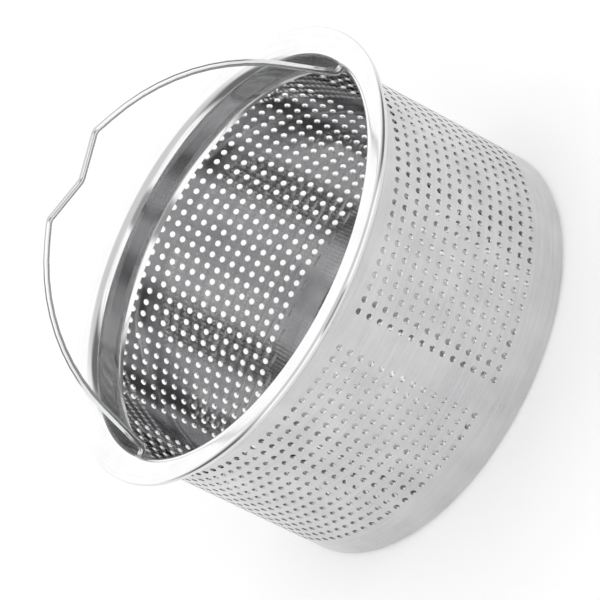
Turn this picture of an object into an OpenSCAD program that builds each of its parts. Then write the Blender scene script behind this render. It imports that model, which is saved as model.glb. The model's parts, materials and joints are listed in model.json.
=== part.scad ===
// Strainer basket: a perforated steel cup that hangs by a wide flange, with a wire bail to lift it.
// Millimetres. It stands on its base at z = 0 with its mouth up. The bail turns about X.

/* [Rim] */
// Outer diameter of the flange, over its rolled edge
flange_d = 138; // [134:1:150]
// Height of the flange's flat face above the underside of the base
flange_z = 71.4; // [67:0.2:90]
// Outer diameter of the rolled edge
bead_d = 2.3; // [2:0.1:2.8]
// Radius of the rounded shoulder between flange and collar
shoulder_r = 3; // [2:0.1:3.2]
// Depth of the collar's lower edge below the flange's face
collar_depth = 10.2; // [9.8:0.1:10.4]
// Height of the collar's lower stretch, which leans inward
lip_h = 3.1; // [2:0.1:3.2]
// How far the collar's lower edge leans inward
lip_in = 0.8; // [0.4:0.1:1]

/* [Cup] */
// Outer diameter of the cup
cup_d = 123.2; // [116:0.4:126]
// Thickness of the sheet
sheet = 0.6; // [0.4:0.1:0.7]
// Outer radius of the corner between wall and base
corner_r = 2.5; // [1.5:0.5:6]

/* [Holes] */
// Diameter of a punched hole
hole_d = 1.8; // [1.2:0.1:2.2]
// Distance between hole centres, along the wall and across the base
hole_pitch = 3.63; // [3.2:0.01:3.7]
// Rows of holes down the wall
hole_rows = 14; // [6:1:14]
// Panels of holes round the wall
hole_panels = 3; // [2:1:4]
// Columns of holes in each panel
hole_columns = 34; // [20:1:34]
// Angle between the end columns of two neighbouring panels
strip_angle = 10.2; // [8:0.2:20]
// Azimuth of the middle of the first plain strip
strip_azimuth = 28; // [20:1:40]
// Depth of the first row of holes below the flange's face
first_row_drop = 11.5; // [11.3:0.1:12.6]
// Radius of the round area of holes in the base
base_holes_r = 46; // [20:1:50]

/* [Bail] */
// Diameter of the wire
wire_d = 2; // [1.6:0.1:2.4]
// Radial clearance of the wire in its two holes
pivot_clearance = 0.08; // [0.02:0.01:0.1]
// Depth of the hinge line below the flange's face
pivot_drop = 5.95; // [5:0.05:6.2]
// Height of the bail's shoulders above the hinge line
bail_h = 58.3; // [50:0.1:58.4]
// Distance of a shoulder from the middle
bail_shoulder_x = 13.6; // [10:0.1:16]
// Depth of the finger notch between the shoulders
notch_depth = 3.2; // [1:0.1:6]
// Lean of each leg from upright, in degrees
leg_lean = 17; // [12:1:20]
// Slope of the bow where it reaches a shoulder, in degrees
bow_slope = 24; // [20:1:30]
// Radius of the bow
bow_r = 62; // [40:1:64]

/* [Hidden] */
$fn = 96;
overshoot = 1;

flange_r = flange_d / 2;
cup_r = cup_d / 2;
cup_in_r = cup_r - sheet;

// Collar: it fits the cup's mouth face to face, and ends just above the first row of holes.
collar_out_r = cup_in_r;
collar_in_r = collar_out_r - sheet;
lip_curve_r = (lip_h * lip_h + lip_in * lip_in) / (2 * lip_in);
lip_angle = asin(lip_h / lip_curve_r);

// Rolled edge: its top is flush with the flange's face, and it is rolled down and under to an angle at
// which it ends clear of the flange's flat underside.
bead_r = bead_d / 2;
bead_x = flange_r - bead_r;
bead_roll_end = -85;

// Cup: the top edge is where the bend of the shoulder begins.
cup_top = flange_z - shoulder_r;
column_step = (360 / hole_panels - strip_angle) / (hole_columns - 1);
first_row_z = flange_z - first_row_drop;
last_row_z = first_row_z - (hole_rows - 1) * hole_pitch;
punched_margin = hole_pitch / 2 + 0.1;
punched_z = [last_row_z - punched_margin, first_row_z + punched_margin];
// The punched band is pressed into flats, one for each column, a little proud of the plain bands.
flat_proud = 0.02;
flats_out_r = (cup_r + flat_proud) / cos(column_step / 2);
flats_in_r = cup_in_r - flat_proud;

pivot_z = flange_z - pivot_drop;
pivot_hole_r = wire_d / 2 + pivot_clearance;
pin_end_x = cup_r + 0.8;
// A slight swelling where a straight stretch meets a bend makes the wire one solid.
swell = 0.05;
swell_length = 0.4;

// Bail: half of the wire's centreline as corners in the plane of the bow, from its end to the notch.
leg_x = collar_in_r - 2.1;
bow_x = (leg_x - tan(leg_lean) * (bail_h + tan(bow_slope) * bail_shoulder_x))
    / (1 - tan(leg_lean) * tan(bow_slope));
bow_y = bail_h - tan(bow_slope) * (bow_x - bail_shoulder_x);
half_corners = [
    [pin_end_x, 0],
    [leg_x, 0],
    [bow_x, bow_y],
    [bail_shoulder_x, bail_h],
];
half_bends = [0, 2, bow_r, 3];
wire_corners = concat(
    half_corners,
    [[0, bail_h - notch_depth]],
    [for (i = [3 : -1 : 0]) [-half_corners[i].x, half_corners[i].y]]
);
wire_bends = concat(half_bends, [4], [for (i = [3 : -1 : 0]) half_bends[i]]);

// Direction of a vector, in degrees
function heading(v) = atan2(v.y, v.x);
// Turn from one heading to the next, within half a turn either way
function turn(from, to) = (to - from + 540) % 360 - 180;
// Turn of the wire at corner i
function turn_at(i) = turn(
    heading(wire_corners[i] - wire_corners[i - 1]),
    heading(wire_corners[i + 1] - wire_corners[i])
);
// Length of straight wire that the bend at corner i takes up on each side of it
function bend_reach(i) = wire_bends[i] == 0 ? 0 : wire_bends[i] * tan(abs(turn_at(i)) / 2);

// Azimuth of column c in panel p
function column_azimuth(p, c) =
    strip_azimuth + p * 360 / hole_panels + strip_angle / 2 + c * column_step;

// Part of a flat ring between two angles, with its wall inward of r
module ring_sector(r, wall, from, to) {
    far = 2 * r;
    steps = ceil((to - from) / 60);
    intersection() {
        difference() {
            circle(r);
            circle(r - wall);
        }
        polygon(concat(
            [[0, 0]],
            [for (i = [0 : steps]) let (a = from + (to - from) * i / steps) far * [cos(a), sin(a)]]
        ));
    }
}

// Section of the rim ring, with y = 0 at the flange's face
module rim_section() {
    shoulder_x = collar_in_r + shoulder_r;
    lip_y = lip_h - collar_depth;
    // Collar, upright
    translate([collar_in_r, lip_y]) square([sheet, -shoulder_r - lip_y]);
    // Collar, leaning in to its lower edge
    translate([collar_in_r - lip_curve_r, lip_y])
        ring_sector(lip_curve_r + sheet, sheet, -lip_angle, 0);
    // Shoulder
    translate([shoulder_x, -shoulder_r]) ring_sector(shoulder_r, sheet, 90, 180);
    // Flange
    translate([shoulder_x, -sheet]) square([bead_x - shoulder_x, sheet]);
    // Rolled edge
    translate([bead_x, -bead_r]) ring_sector(bead_r, sheet, bead_roll_end, 90);
}

// The two holes that the bail's ends turn in
module pivot_holes() {
    translate([0, 0, pivot_z]) rotate([0, 90, 0])
        cylinder(h = cup_d + 2 * overshoot, r = pivot_hole_r, center = true);
}

// Section of the cup's plain bands, corner and base
module cup_section() {
    // Upper band
    translate([cup_in_r, punched_z[1]]) square([sheet, cup_top - punched_z[1]]);
    // Lower band
    translate([cup_in_r, corner_r]) square([sheet, punched_z[0] - corner_r]);
    // Corner
    translate([cup_r - corner_r, corner_r]) ring_sector(corner_r, sheet, -90, 0);
    // Base
    square([cup_r - corner_r, sheet]);
}

// Outline of the punched band: one flat for each column, and two across each plain strip
module flats_outline(r) {
    polygon([
        for (p = [0 : hole_panels - 1], c = [0 : hole_columns + 1])
            let (a = c <= hole_columns
                ? column_azimuth(p, c - 0.5)
                : column_azimuth(p + 1, 0) - strip_angle / 2)
            r * [cos(a), sin(a)]
    ]);
}

module punched_band() {
    translate([0, 0, punched_z[0]]) linear_extrude(punched_z[1] - punched_z[0]) difference() {
        flats_outline(flats_out_r);
        flats_outline(flats_in_r);
    }
}

module wall_holes() {
    for (p = [0 : hole_panels - 1], c = [0 : hole_columns - 1], k = [0 : hole_rows - 1])
        rotate([0, 0, column_azimuth(p, c)])
            translate([cup_in_r - overshoot, 0, last_row_z + k * hole_pitch])
                rotate([0, 90, 0]) cylinder(h = sheet + 2 * overshoot, d = hole_d, $fn = 24);
}

module base_holes() {
    reach = floor(base_holes_r / hole_pitch);
    for (i = [-reach : reach], j = [-reach : reach])
        if (norm([i, j]) * hole_pitch <= base_holes_r)
            translate([i * hole_pitch, j * hole_pitch, -overshoot])
                cylinder(h = sheet + 2 * overshoot, d = hole_d, $fn = 24);
}

module rim_ring() {
    color("whitesmoke")
    difference() {
        translate([0, 0, flange_z]) rotate_extrude($fn = 180) rim_section();
        pivot_holes();
    }
}

module strainer_cup() {
    color("silver")
    difference() {
        union() {
            rotate_extrude($fn = 180) cup_section();
            punched_band();
        }
        wall_holes();
        base_holes();
        pivot_holes();
    }
}

// Straight stretch of wire that leaves corner i, with its joints to the bends at its ends
module wire_straight(i) {
    last = len(wire_corners) - 2;
    from = wire_corners[i];
    along = wire_corners[i + 1] - from;
    start = i == 0 ? 0 : bend_reach(i);
    end = norm(along) - (i == last ? 0 : bend_reach(i + 1));
    translate(from) rotate([0, 0, heading(along)]) {
        translate([start, 0, 0]) rotate([0, 90, 0]) cylinder(h = end - start, d = wire_d, $fn = 32);
        if (i > 0) translate([start, 0, 0]) wire_swelling();
        if (i < last) translate([end, 0, 0]) wire_swelling();
    }
}

module wire_swelling() {
    rotate([0, 90, 0])
        cylinder(h = swell_length, d = wire_d + 2 * swell, center = true, $fn = 32);
}

// Bend of the wire at corner i
module wire_bend(i) {
    arriving = heading(wire_corners[i] - wire_corners[i - 1]);
    side = sign(turn_at(i));
    translate(wire_corners[i]) rotate([0, 0, arriving])
        translate([-bend_reach(i), side * wire_bends[i], 0]) rotate([0, 0, -side * 90])
            rotate_extrude(angle = turn_at(i), $fn = 180)
                translate([wire_bends[i], 0]) circle(d = wire_d, $fn = 32);
}

module bail() {
    color("gainsboro")
    translate([0, 0, pivot_z]) rotate([90, 0, 0]) {
        for (i = [0 : len(wire_corners) - 2])
            wire_straight(i);
        for (i = [1 : len(wire_corners) - 2])
            wire_bend(i);
    }
}

rim_ring();
strainer_cup();
bail();
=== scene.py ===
import json
import math

import bmesh
import bpy
import numpy as np
from mathutils import Matrix, Vector
from mathutils.geometry import delaunay_2d_cdt


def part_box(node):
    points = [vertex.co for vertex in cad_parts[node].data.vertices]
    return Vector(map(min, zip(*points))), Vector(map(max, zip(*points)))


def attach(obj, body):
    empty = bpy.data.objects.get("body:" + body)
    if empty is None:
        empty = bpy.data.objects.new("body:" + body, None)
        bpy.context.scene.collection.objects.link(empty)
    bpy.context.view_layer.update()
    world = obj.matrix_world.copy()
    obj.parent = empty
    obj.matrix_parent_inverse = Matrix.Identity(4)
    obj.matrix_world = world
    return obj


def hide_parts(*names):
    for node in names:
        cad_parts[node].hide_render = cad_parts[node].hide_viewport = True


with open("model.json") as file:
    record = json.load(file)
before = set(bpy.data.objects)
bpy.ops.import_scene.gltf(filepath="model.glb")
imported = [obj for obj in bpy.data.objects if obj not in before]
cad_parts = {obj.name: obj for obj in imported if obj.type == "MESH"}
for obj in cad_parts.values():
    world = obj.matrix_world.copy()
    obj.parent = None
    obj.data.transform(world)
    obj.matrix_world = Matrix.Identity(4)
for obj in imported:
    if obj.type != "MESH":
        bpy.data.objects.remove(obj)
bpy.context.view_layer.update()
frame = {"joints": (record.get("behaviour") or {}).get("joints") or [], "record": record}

MM = 0.001
TURN = 2 * math.pi

# ---------------------------------------------------------------- sizes, from the frame

rim_low, rim_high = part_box("rim_ring")
cup_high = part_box("strainer_cup")[1]
bail_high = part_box("bail")[1]
mounts = {m["name"]: m for m in frame["record"]["mounts"]}
HINGE_Z = frame["joints"][0]["pos_m"][2]

SHEET = 0.6 * MM

# Rim ring
BEAD_R = 1.15 * MM
BEAD_END = -85  # degrees round the rolled edge at which its sheet ends, under the flange
SHOULDER_R = 3 * MM
LIP_H = 3.1 * MM
LIP_IN = 0.8 * MM
FLANGE_R = rim_high.x
FLANGE_Z = rim_high.z
COLLAR_END_Z = rim_low.z
RIM_COLUMNS = 288  # columns of the mesh grid round the ring
RIM_PIVOT_BLOCK = 1.6 * MM  # half the height of the grid block that a pivot hole is cut from

# Cup
CUP_R = mounts["cup_spigot"]["dims"]["r_mm"] * MM
CUP_TOP = cup_high.z
CORNER_R = 2.5 * MM
HOLE_R = 0.9 * MM
HOLE_SIDES = 16
ROW_PITCH = 3.63 * MM
ROWS = 14
PANELS = 3
COLUMNS = 34
STRIP_ANGLE = 10.2  # degrees between the end columns of two panels
STRIP_AZIMUTH = 28
COLUMN_STEP = (360 / PANELS - STRIP_ANGLE) / (COLUMNS - 1)
FIRST_ROW_Z = FLANGE_Z - 11.5 * MM
BASE_HOLES_R = 46 * MM
PIVOT_HOLE_R = 1.08 * MM
CUP_PIVOT_BLOCK = 1.9 * MM
CUP_PIVOT_TURN = 1.6  # degrees that the block reaches at least, to each side of a pivot hole's centre

# Bail
WIRE_R = 1 * MM
WIRE_SIDES = 32
PIN_END_X = bail_high.x
PIN_CHAMFER = 0.25 * MM
LEG_GAP = 2.1 * MM  # from the collar's inside to a leg's centreline
LEG_BEND_R = 2 * MM
LEG_LEAN = 17  # degrees from upright
BOW_R = 62 * MM
BOW_SLOPE = 24  # degrees, where the bow reaches a shoulder
BAIL_SHOULDER_X = 13.6 * MM
BAIL_SHOULDER_R = 3 * MM
NOTCH_DEPTH = 3.2 * MM
NOTCH_R = 4 * MM
BEND_STEP = 5  # degrees of bend from one ring of the wire's mesh to the next
BEND_DROP = 0.15 * MM  # how far the bend at a shoulder stays under the corner that it rounds off
BAIL_H = bail_high.z - WIRE_R - HINGE_Z + BEND_DROP


# ---------------------------------------------------------------- mesh helpers

def arc(x, y, r, start, end, steps):
    """Points on an arc round (x, y), in degrees, both ends included."""
    a = np.radians(np.linspace(start, end, steps + 1))
    return [(x + r * c, y + r * s) for c, s in zip(np.cos(a), np.sin(a))]


def line(a, b, steps):
    """Points from a towards b, without b."""
    return [(a[0] + (b[0] - a[0]) * i / steps, a[1] + (b[1] - a[1]) * i / steps) for i in range(steps)]


def on_ring(r, azimuth, z):
    return (r * math.cos(azimuth), r * math.sin(azimuth), z)


class Sheet:
    """A steel sheet as one closed mesh: a front and a back skin on the same grid, with round holes
    through both."""

    def __init__(self):
        self.points = []
        self.faces = []
        self.skins = []

    def add(self, points):
        start = len(self.points)
        self.points += points
        return list(range(start, start + len(points)))

    def face(self, skin, *corners):
        """A face whose corners run counterclockwise seen from the front. The back skin turns them round."""
        self.faces.append(corners[::-1] if skin == "back" else corners)
        self.skins.append(skin)

    def between(self, skin, outer, inner):
        """Triangles between two loops of (angle, point) round a hole's centre."""
        outer, inner = sorted(outer), sorted(inner)
        i = j = 0
        n, m = len(outer), len(inner)

        def angle(loop, k):
            return loop[k % len(loop)][0] + TURN * (k // len(loop))

        while i < n or j < m:
            if j == m or (i < n and angle(outer, i + 1) <= angle(inner, j + 1)):
                self.face(skin, outer[i % n][1], outer[(i + 1) % n][1], inner[j % m][1])
                i += 1
            else:
                self.face(skin, outer[i % n][1], inner[(j + 1) % m][1], inner[j % m][1])
                j += 1

    def hole_wall(self, front, back):
        """The cut edge of a hole, between the loops of (angle, point) that it leaves in the two skins."""
        front, back = sorted(front), sorted(back)
        for k in range(len(front)):
            a, b = front[k - 1][1], front[k][1]
            c, d = back[k][1], back[k - 1][1]
            self.face("front", a, b, c, d)

    def revolve(self, front, back, azimuths, holes):
        """Turns two profiles of (radius, z) round the axis. A hole is (azimuth, z, radius, columns, rows),
        with its block of grid cells given by first and last column and row."""
        count = len(azimuths)
        covered = set()
        for _, _, _, (i0, i1), (k0, k1) in holes:
            covered |= {(i % count, k) for i in range(i0, i1) for k in range(k0, k1)}
        grids, loops = {}, {}
        for skin, profile in (("front", front), ("back", back)):
            grid = [self.add([on_ring(r, a, z) for a in azimuths]) for r, z in profile]
            grids[skin] = grid
            for k in range(len(profile) - 1):
                for i in range(count):
                    if (i, k) not in covered:
                        j = (i + 1) % count
                        self.face(skin, grid[k][i], grid[k][j], grid[k + 1][j], grid[k + 1][i])
            first_row, last_row = holes[0][4]
            rise = 1 if profile[last_row][1] > profile[first_row][1] else -1
            loops[skin] = []
            for azimuth, z, radius, (i0, i1), (k0, k1) in holes:
                r = profile[k0][0]
                border = [(i, k0) for i in range(i0, i1)] + [(i1, k) for k in range(k0, k1)]
                border += [(i, k1) for i in range(i1, i0, -1)] + [(i0, k) for k in range(k1, k0, -1)]
                outer = []
                for i, k in border:
                    across = (azimuths[i % count] - azimuth + TURN / 2) % TURN - TURN / 2
                    up = (profile[k][1] - z) * rise
                    outer.append((math.atan2(up, across * r) % TURN, grid[k][i % count]))
                inner = []
                for s in range(HOLE_SIDES):
                    turn = TURN * (s + 0.5) / HOLE_SIDES
                    across = math.asin(radius * math.cos(turn) / r)
                    point = on_ring(r, azimuth + across, z + rise * radius * math.sin(turn))
                    inner.append((turn, self.add([point])[0]))
                self.between(skin, outer, inner)
                loops[skin].append(inner)
        for a, b in zip(loops["front"], loops["back"]):
            self.hole_wall(a, b)
        return grids["front"], grids["back"]

    def join_edges(self, front, back):
        """The sheet's own edge, between the end rings of the two skins."""
        for i in range(len(front)):
            j = (i + 1) % len(front)
            self.face("front", front[i], front[j], back[j], back[i])

    def object(self, name, front_material, back_material):
        mesh = bpy.data.meshes.new(name)
        mesh.from_pydata(self.points, [], self.faces)
        mesh.materials.append(front_material)
        mesh.materials.append(back_material)
        mesh.polygons.foreach_set("material_index", [int(s == "back") for s in self.skins])
        return finish_mesh(name, mesh)


def finish_mesh(name, mesh):
    """Drops unused points, sets smooth shading with sharp cut edges, and makes the object."""
    sharp_angle = math.radians(32)
    used = np.zeros(len(mesh.vertices), bool)
    corners = np.zeros(len(mesh.loops), np.int32)
    mesh.loops.foreach_get("vertex_index", corners)
    used[corners] = True
    if not used.all():
        bm = bmesh.new()
        bm.from_mesh(mesh)
        bm.verts.ensure_lookup_table()
        bmesh.ops.delete(bm, geom=[v for v in bm.verts if not v.link_faces], context="VERTS")
        bm.to_mesh(mesh)
        bm.free()
    mesh.shade_smooth()
    mesh.set_sharp_from_angle(angle=sharp_angle)
    made = bpy.data.objects.new(name, mesh)
    bpy.context.scene.collection.objects.link(made)
    return made


# ---------------------------------------------------------------- materials

def add_node(tree, kind, inputs=None, **settings):
    """A node with its settings, and each input linked to a socket or set to a value."""
    made = tree.nodes.new(kind)
    for key, value in settings.items():
        setattr(made, key, value)
    for key, value in (inputs or {}).items():
        if isinstance(value, bpy.types.NodeSocket):
            tree.links.new(value, made.inputs[key])
        else:
            made.inputs[key].default_value = value
    return made


def turned_lines(tree, scale, detail):
    """Noise drawn out along circles round the cup's axis, as left by spinning and polishing."""
    around = 0.03  # how fast the noise changes along a circle, against 1 along the axis and outward
    coords = add_node(tree, "ShaderNodeTexCoord").outputs["Object"]
    axes = add_node(tree, "ShaderNodeSeparateXYZ", {0: coords}).outputs
    flat = add_node(tree, "ShaderNodeCombineXYZ", {"X": axes["X"], "Y": axes["Y"]}).outputs[0]
    radius = add_node(tree, "ShaderNodeVectorMath", {0: flat}, operation="LENGTH").outputs["Value"]
    drawn = add_node(
        tree, "ShaderNodeVectorMath", {0: coords, 1: (around, around, 1)}, operation="MULTIPLY",
    ).outputs[0]
    noise = add_node(
        tree, "ShaderNodeTexNoise",
        {"Vector": drawn, "W": radius, "Scale": scale, "Detail": detail, "Roughness": 0.6},
        noise_dimensions="4D",
    )
    return noise.outputs["Fac"]


def blotches(tree, scale, detail):
    """Even noise, for handling marks and cloudy polish."""
    coords = add_node(tree, "ShaderNodeTexCoord").outputs["Object"]
    noise = add_node(tree, "ShaderNodeTexNoise", {"Vector": coords, "Scale": scale, "Detail": detail})
    return noise.outputs["Fac"]


def spread(tree, value, low, high):
    """Stretches the middle of a noise's range to low..high."""
    return add_node(
        tree, "ShaderNodeMapRange",
        {"Value": value, "From Min": 0.3, "From Max": 0.7, "To Min": low, "To Max": high},
    ).outputs["Result"]


def steel(name, dark, light, smooth, rough, lines, bump):
    """Stainless steel whose grey and roughness run between two values over its lines and blotches."""
    material = bpy.data.materials.new(name)
    material.use_nodes = True
    tree = material.node_tree
    shader = tree.nodes["Principled BSDF"]
    shader.inputs["Metallic"].default_value = 1
    fine = lines(tree)
    cloudy = blotches(tree, scale=90, detail=3)
    both = add_node(tree, "ShaderNodeMath", {0: fine, 1: cloudy}, operation="ADD").outputs[0]
    mixed = add_node(tree, "ShaderNodeMath", {0: both, 1: 0.5}, operation="MULTIPLY").outputs[0]
    share = spread(tree, mixed, low=0, high=1)
    ramp = add_node(tree, "ShaderNodeValToRGB", {"Fac": share})
    ramp.color_ramp.elements[0].color = (*dark, 1)
    ramp.color_ramp.elements[1].color = (*light, 1)
    tree.links.new(ramp.outputs["Color"], shader.inputs["Base Color"])
    tree.links.new(spread(tree, mixed, rough, smooth), shader.inputs["Roughness"])
    relief = add_node(tree, "ShaderNodeBump", {"Height": fine, "Strength": 1.0, "Distance": bump})
    tree.links.new(relief.outputs["Normal"], shader.inputs["Normal"])
    return material


rim_steel = steel(
    "rim_steel", dark=(0.66, 0.66, 0.67), light=(0.74, 0.74, 0.74), smooth=0.06, rough=0.16,
    lines=lambda tree: turned_lines(tree, scale=2500, detail=3), bump=0.6e-6,
)
cup_outside = steel(
    "cup_outside", dark=(0.52, 0.52, 0.53), light=(0.66, 0.66, 0.66), smooth=0.18, rough=0.3,
    lines=lambda tree: turned_lines(tree, scale=1800, detail=3), bump=1e-6,
)
cup_inside = steel(
    "cup_inside", dark=(0.5, 0.5, 0.51), light=(0.66, 0.66, 0.66), smooth=0.03, rough=0.08,
    lines=lambda tree: turned_lines(tree, scale=1800, detail=3), bump=0.5e-6,
)
wire_steel = steel(
    "wire_steel", dark=(0.7, 0.7, 0.71), light=(0.78, 0.78, 0.78), smooth=0.07, rough=0.15,
    lines=lambda tree: blotches(tree, scale=1500, detail=4), bump=1e-6,
)


# ---------------------------------------------------------------- rim ring

def rim_profiles():
    """Front and back of the rim's sheet, from the rolled edge's end, over the flange and down to the
    collar's end, and the grid row at which the pivot holes' block starts."""
    bead_x = FLANGE_R - BEAD_R
    collar_in = CUP_R - 2 * SHEET
    shoulder_x = collar_in + SHOULDER_R
    lip_r = (LIP_H ** 2 + LIP_IN ** 2) / (2 * LIP_IN)
    lip_angle = math.degrees(math.asin(LIP_H / lip_r))
    lip_z = COLLAR_END_Z + LIP_H
    profiles = []
    for depth in (0, SHEET):
        collar_x = collar_in + depth
        profile = arc(bead_x, FLANGE_Z - BEAD_R, BEAD_R - depth, BEAD_END, 90, steps=30)
        profile += line(profile[-1], (shoulder_x, FLANGE_Z - depth), steps=6)[1:]
        profile += arc(shoulder_x, FLANGE_Z - SHOULDER_R, SHOULDER_R - depth, 90, 180, steps=12)
        hole_block = len(profile)
        profile += [(collar_x, HINGE_Z + RIM_PIVOT_BLOCK)]
        profile += arc(collar_in - lip_r, lip_z, lip_r + depth, 0, -lip_angle, steps=10)
        profiles.append(profile)
    return *profiles, hole_block


def build_rim():
    front, back, block = rim_profiles()
    azimuths = [TURN * i / RIM_COLUMNS for i in range(RIM_COLUMNS)]
    half = RIM_COLUMNS // 2
    holes = [
        (azimuth, HINGE_Z, PIVOT_HOLE_R, (column - 2, column + 2), (block, block + 1))
        for azimuth, column in ((0, 0), (TURN / 2, half))
    ]
    sheet = Sheet()
    front_grid, back_grid = sheet.revolve(front, back, azimuths, holes)
    sheet.join_edges(back_grid[0], front_grid[0])
    sheet.join_edges(front_grid[-1], back_grid[-1])
    return sheet.object("rim_ring_sheet", rim_steel, rim_steel)


rim = build_rim()
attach(rim, "basket")
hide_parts("rim_ring")


# ---------------------------------------------------------------- strainer cup

def cup_azimuths():
    """Grid columns round the cup: two for each column of holes and a few across each plain strip."""
    strip_columns = 4
    rest = 360 / PANELS - COLUMNS * COLUMN_STEP
    found = []
    for p in range(PANELS):
        start = STRIP_AZIMUTH + 360 * p / PANELS + (STRIP_ANGLE - COLUMN_STEP) / 2
        found += [start + j * COLUMN_STEP / 2 for j in range(2 * COLUMNS)]
        found += [start + COLUMNS * COLUMN_STEP + rest * j / strip_columns for j in range(strip_columns)]
    return [math.radians(a) for a in found]


def cup_profiles():
    """Outside and inside of the cup's wall, from the base's edge up, and the grid row at which the
    lowest row of holes starts."""
    rows_low = FIRST_ROW_Z - (ROWS - 0.5) * ROW_PITCH
    profiles = []
    for depth in (0, SHEET):
        wall = CUP_R - depth
        profile = arc(CUP_R - CORNER_R, CORNER_R, CORNER_R - depth, -90, 0, steps=10)
        profile += [(wall, CORNER_R + (rows_low - CORNER_R) * f) for f in (0.33, 0.67)]
        first = len(profile)
        profile += [(wall, rows_low + i * ROW_PITCH / 2) for i in range(2 * ROWS + 1)]
        profile += [(wall, z) for z in (HINGE_Z - CUP_PIVOT_BLOCK, HINGE_Z + CUP_PIVOT_BLOCK, CUP_TOP)]
        profiles.append(profile)
    return *profiles, first


def base_plate(sheet, outer_ring, inner_ring):
    """The flat base: a square grid of holes inside the ring of points where the corner starts."""
    inside_edges = 1  # the kind of triangulation that stays inside its given edges
    precision = 1e-7
    reach = int(BASE_HOLES_R / ROW_PITCH)
    centres = [
        (i * ROW_PITCH, j * ROW_PITCH)
        for i in range(-reach, reach + 1)
        for j in range(-reach, reach + 1)
        if math.hypot(i, j) * ROW_PITCH <= BASE_HOLES_R
    ]
    count = len(outer_ring)
    flat = [Vector(sheet.points[i][:2]) for i in outer_ring]
    edges = [(i, (i + 1) % count) for i in range(count)]
    circle = [TURN * (s + 0.5) / HOLE_SIDES for s in range(HOLE_SIDES)]
    for x, y in centres:
        start = len(flat)
        flat += [Vector((x + HOLE_R * math.cos(a), y + HOLE_R * math.sin(a))) for a in circle]
        edges += [(start + s, start + (s + 1) % HOLE_SIDES) for s in range(HOLE_SIDES)]
    _, _, triangles, origins, _, _ = delaunay_2d_cdt(flat, edges, [], inside_edges, precision)
    source = [o[0] for o in origins]
    ids = {
        skin: ring + sheet.add([(p.x, p.y, z) for p in flat[count:]])
        for skin, ring, z in (("front", outer_ring, 0), ("back", inner_ring, SHEET))
    }
    for t in triangles:
        corners = [source[i] for i in t]
        holes = {(c - count) // HOLE_SIDES if c >= count else -1 - c for c in corners}
        if len(holes) == 1:
            continue
        a, b, c = (flat[i] for i in corners)
        if (b - a).cross(c - a) > 0:
            corners.reverse()
        for skin in ("front", "back"):
            sheet.face(skin, *(ids[skin][i] for i in corners))
    for h in range(len(centres)):
        loops = [
            [(-a, ids[skin][count + h * HOLE_SIDES + s]) for s, a in enumerate(circle)]
            for skin in ("front", "back")
        ]
        sheet.hole_wall(*loops)


def build_cup():
    front, back, first = cup_profiles()
    azimuths = cup_azimuths()
    count = len(azimuths)
    per_panel = count // PANELS
    holes = [
        (
            azimuths[p * per_panel + 2 * c + 1],
            FIRST_ROW_Z - (ROWS - 1 - k) * ROW_PITCH,
            HOLE_R,
            (p * per_panel + 2 * c, p * per_panel + 2 * c + 2),
            (first + 2 * k, first + 2 * k + 2),
        )
        for p in range(PANELS)
        for c in range(COLUMNS)
        for k in range(ROWS)
    ]
    pivot_row = first + 2 * ROWS + 1
    for azimuth in (0, TURN / 2):
        turned = [(a - azimuth + TURN / 2) % TURN - TURN / 2 for a in azimuths]
        low = max((a, i) for i, a in enumerate(turned) if a < -math.radians(CUP_PIVOT_TURN))[1]
        high = min((a, i) for i, a in enumerate(turned) if a > math.radians(CUP_PIVOT_TURN))[1]
        columns = (low, high if high > low else high + count)
        holes.append((azimuth, HINGE_Z, PIVOT_HOLE_R, columns, (pivot_row, pivot_row + 1)))
    sheet = Sheet()
    front_grid, back_grid = sheet.revolve(front, back, azimuths, holes)
    sheet.join_edges(front_grid[-1], back_grid[-1])
    base_plate(sheet, front_grid[0], back_grid[0])
    return sheet.object("strainer_cup_sheet", cup_outside, cup_inside)


cup = build_cup()
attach(cup, "basket")
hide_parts("strainer_cup")


# ---------------------------------------------------------------- bail

def bail_path():
    """The wire's centreline in the plane of the bow: at each ring of its mesh, the point (x, height over
    the hinge) and the direction."""
    lean, slope = math.tan(math.radians(LEG_LEAN)), math.tan(math.radians(BOW_SLOPE))
    leg_x = CUP_R - 2 * SHEET - LEG_GAP
    bow_x = (leg_x - lean * (BAIL_H + slope * BAIL_SHOULDER_X)) / (1 - lean * slope)
    bow_h = BAIL_H - slope * (bow_x - BAIL_SHOULDER_X)
    # Corners as (x, height, radius of the bend there)
    half = [
        (PIN_END_X, 0, 0),
        (leg_x, 0, LEG_BEND_R),
        (bow_x, bow_h, BOW_R),
        (BAIL_SHOULDER_X, BAIL_H, BAIL_SHOULDER_R),
    ]
    notch = (0, BAIL_H - NOTCH_DEPTH, NOTCH_R)
    corners = half + [notch] + [(-x, h, r) for x, h, r in reversed(half)]
    path = []
    for i, (x, h, r) in enumerate(corners):
        here = Vector((x, h))
        before = here - Vector(corners[i - 1][:2]) if i else None
        after = Vector(corners[i + 1][:2]) - here if i + 1 < len(corners) else None
        if r == 0:
            along = (after or before).normalized()
            path.append((here, along))
            continue
        a, b = before.normalized(), after.normalized()
        turn = math.atan2(a.cross(b), a.dot(b))
        start = here - a * r * math.tan(abs(turn) / 2)
        side = Vector((-a.y, a.x)) * math.copysign(1, turn)
        centre = start + side * r
        steps = max(4, round(abs(math.degrees(turn)) / BEND_STEP))
        for s in range(steps + 1):
            rotate = Matrix.Rotation(turn * s / steps, 2)
            path.append((centre + rotate @ (start - centre), rotate @ a))
    return path


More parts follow.
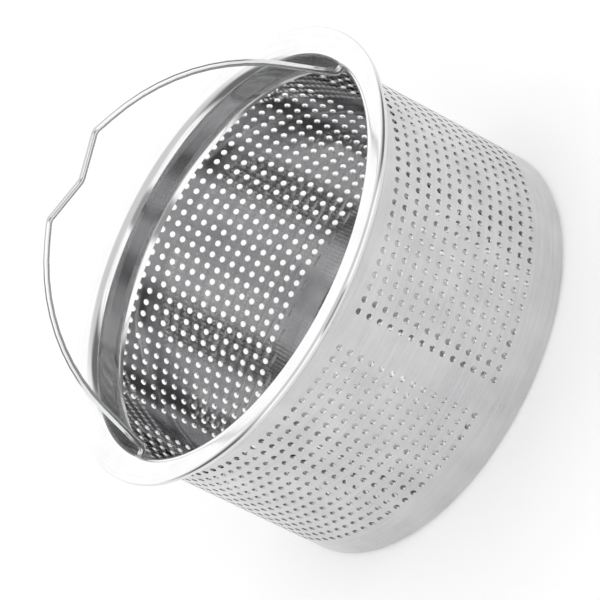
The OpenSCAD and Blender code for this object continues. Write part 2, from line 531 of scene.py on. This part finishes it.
def build_bail():
    path = bail_path()
    (start, start_along), (end, end_along) = path[0], path[-1]
    tip_r = WIRE_R - PIN_CHAMFER
    rings = [(start, start_along, tip_r), (start + start_along * PIN_CHAMFER, start_along, WIRE_R)]
    rings += [(centre, along, WIRE_R) for centre, along in path[1:-1]]
    rings += [(end - end_along * PIN_CHAMFER, end_along, WIRE_R), (end, end_along, tip_r)]
    points, faces = [], []
    for centre, along, r in rings:
        across = Vector((-along.y, along.x))
        for s in range(WIRE_SIDES):
            a = TURN * s / WIRE_SIDES
            p = centre + across * r * math.cos(a)
            points.append((p.x, r * math.sin(a), p.y + HINGE_Z))
    for k in range(len(rings) - 1):
        here, beyond = k * WIRE_SIDES, (k + 1) * WIRE_SIDES
        for s in range(WIRE_SIDES):
            t = (s + 1) % WIRE_SIDES
            faces.append((here + s, here + t, beyond + t, beyond + s))
    faces.append(tuple(range(WIRE_SIDES - 1, -1, -1)))
    faces.append(tuple((len(rings) - 1) * WIRE_SIDES + s for s in range(WIRE_SIDES)))
    mesh = bpy.data.meshes.new("bail_wire")
    mesh.from_pydata(points, [], faces)
    mesh.materials.append(wire_steel)
    return finish_mesh("bail_wire", mesh)


bail = build_bail()
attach(bail, "bail")
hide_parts("bail")


# ---------------------------------------------------------------- stage, light and camera

def build_floor():
    """A pale floor with a glow of its own, so that it stays near white right up to the basket."""
    half = 20
    grey = 0.85
    glow = 0.27
    mesh = bpy.data.meshes.new("floor")
    corners = [(-half, -half, 0), (half, -half, 0), (half, half, 0), (-half, half, 0)]
    mesh.from_pydata(corners, [], [(0, 1, 2, 3)])
    material = bpy.data.materials.new("floor_white")
    material.use_nodes = True
    shader = material.node_tree.nodes["Principled BSDF"]
    shader.inputs["Base Color"].default_value = (grey, grey, grey, 1)
    shader.inputs["Roughness"].default_value = 0.9
    shader.inputs["Specular IOR Level"].default_value = 0.0
    shader.inputs["Emission Color"].default_value = (1, 1, 1, 1)
    shader.inputs["Emission Strength"].default_value = glow
    mesh.materials.append(material)
    floor = bpy.data.objects.new("floor", mesh)
    bpy.context.scene.collection.objects.link(floor)


def build_world():
    """A white studio as the steel reflects it, by how far a direction turns from the -Y side, where the
    camera stands, and by its height: dim behind the camera, white to both sides of it and behind the
    basket, dark at the sides, and grey overhead."""
    # (degrees from the -Y side, grey)
    bands = [(0, 0.3), (9, 0.3), (14, 1), (58, 1), (74, 0.15), (104, 0.15), (126, 1), (180, 1)]
    overhead = 0.62
    overhead_start, overhead_full = 0.6, 0.9  # heights of a direction of length 1
    strength = 1.4
    world = bpy.data.worlds.new("studio")
    world.use_nodes = True
    tree = world.node_tree
    toward = add_node(tree, "ShaderNodeTexCoord").outputs["Generated"]
    axes = add_node(tree, "ShaderNodeSeparateXYZ", {0: toward}).outputs
    level = add_node(
        tree, "ShaderNodeVectorMath", {0: toward, 1: (1, 1, 0)}, operation="MULTIPLY",
    ).outputs[0]
    compass = add_node(tree, "ShaderNodeVectorMath", {0: level}, operation="NORMALIZE").outputs[0]
    nearness = add_node(
        tree, "ShaderNodeVectorMath", {0: compass, 1: (0, -1, 0)}, operation="DOT_PRODUCT",
    ).outputs["Value"]
    turn = add_node(tree, "ShaderNodeMath", {0: nearness}, operation="ARCCOSINE").outputs[0]
    share = add_node(tree, "ShaderNodeMath", {0: turn, 1: math.pi}, operation="DIVIDE").outputs[0]
    ramp = add_node(tree, "ShaderNodeValToRGB", {"Fac": share})
    stops = ramp.color_ramp.elements
    for i, (angle, value) in enumerate(bands):
        stop = stops[i] if i < 2 else stops.new(angle / 180)
        stop.position = angle / 180
        stop.color = (value, value, value, 1)
    height = add_node(
        tree, "ShaderNodeMapRange",
        {"Value": axes["Z"], "From Min": overhead_start, "From Max": overhead_full},
        interpolation_type="SMOOTHSTEP",
    ).outputs["Result"]
    mix = add_node(
        tree, "ShaderNodeMixRGB",
        {"Fac": height, "Color1": ramp.outputs["Color"], "Color2": (overhead, overhead, overhead, 1)},
    )
    background = tree.nodes["Background"]
    background.inputs["Strength"].default_value = strength
    tree.links.new(mix.outputs["Color"], background.inputs["Color"])
    bpy.context.scene.world = world


def build_camera():
    """Aimed at a point in front of the cup's axis, rolled so that the basket lies over to the left."""
    azimuth, elevation, roll = math.radians(1.2), math.radians(29.13), math.radians(-63.24)
    target = Vector((-2.03, -11.45, 49.54)) * MM
    distance = 1476.8 * MM
    data = bpy.data.cameras.new("camera")
    data.lens = 321.3
    data.sensor_width = 36
    camera = bpy.data.objects.new("camera", data)
    bpy.context.scene.collection.objects.link(camera)
    camera.matrix_world = (
        Matrix.Translation(target)
        @ Matrix.Rotation(azimuth, 4, "Z")
        @ Matrix.Rotation(TURN / 4 - elevation, 4, "X")
        @ Matrix.Rotation(roll, 4, "Z")
        @ Matrix.Translation((0, 0, distance))
    )
    bpy.context.scene.camera = camera


build_floor()
build_world()
build_camera()
bpy.context.scene.view_settings.view_transform = "Standard"
